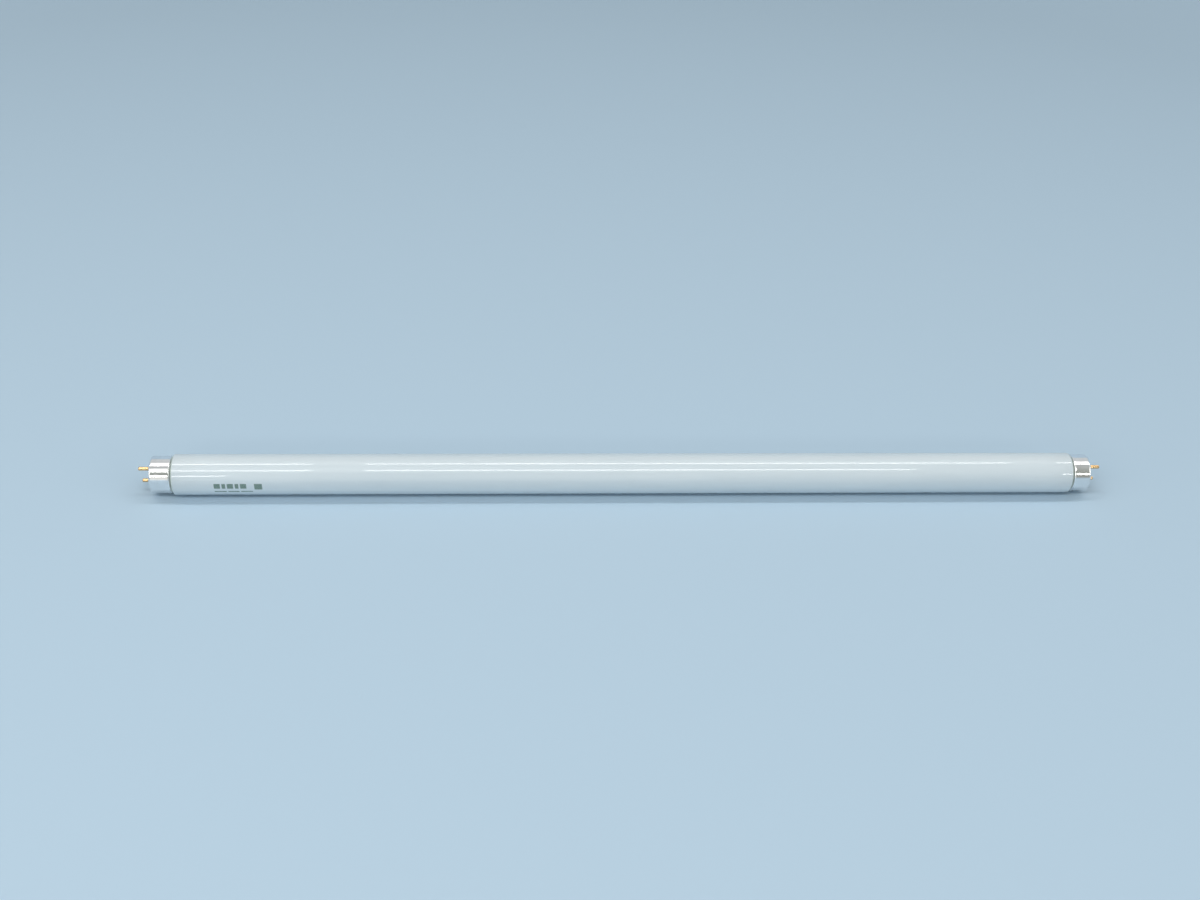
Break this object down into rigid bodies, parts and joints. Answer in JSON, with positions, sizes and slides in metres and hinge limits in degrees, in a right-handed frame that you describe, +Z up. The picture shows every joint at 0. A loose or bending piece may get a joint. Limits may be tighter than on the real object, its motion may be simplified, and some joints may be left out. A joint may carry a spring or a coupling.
{
  "type": "fluorescent tube",
  "caption": "Straight white fluorescent tube with a rounded shoulder, a bright metal cap and a pair of contact pins on each end.",
  "frame": {"origin": "centre of the tube, on its axis at mid-length", "axes": "+X along the tube towards the right-hand cap, +Z up; the tube lies on its glass and the front is -Y"},
  "size_m": [0.604, 0.0254, 0.0254],
  "materials": {
    "coated_glass": "clear glass over an opaque white powder coat, glossy outside",
    "cap_metal": "bright drawn, near mirror",
    "insulator": "pressed phenolic board, dull",
    "cement": "baked cement, dull and grainy",
    "pin_brass": "bright brass",
    "lead_wire": "bare nickel-iron wire"
  },
  "bodies": {
    "root": {"glass_tube": "coated_glass", "left_cap_shell": "cap_metal", "left_pin_plate": "insulator", "left_cement_ring": "cement", "left_upper_pin": "pin_brass", "left_lower_pin": "pin_brass", "left_upper_lead": "lead_wire", "left_lower_lead": "lead_wire", "right_cap_shell": "cap_metal", "right_pin_plate": "insulator", "right_cement_ring": "cement", "right_upper_pin": "pin_brass", "right_lower_pin": "pin_brass", "right_upper_lead": "lead_wire", "right_lower_lead": "lead_wire"}
  },
  "joints": []
}
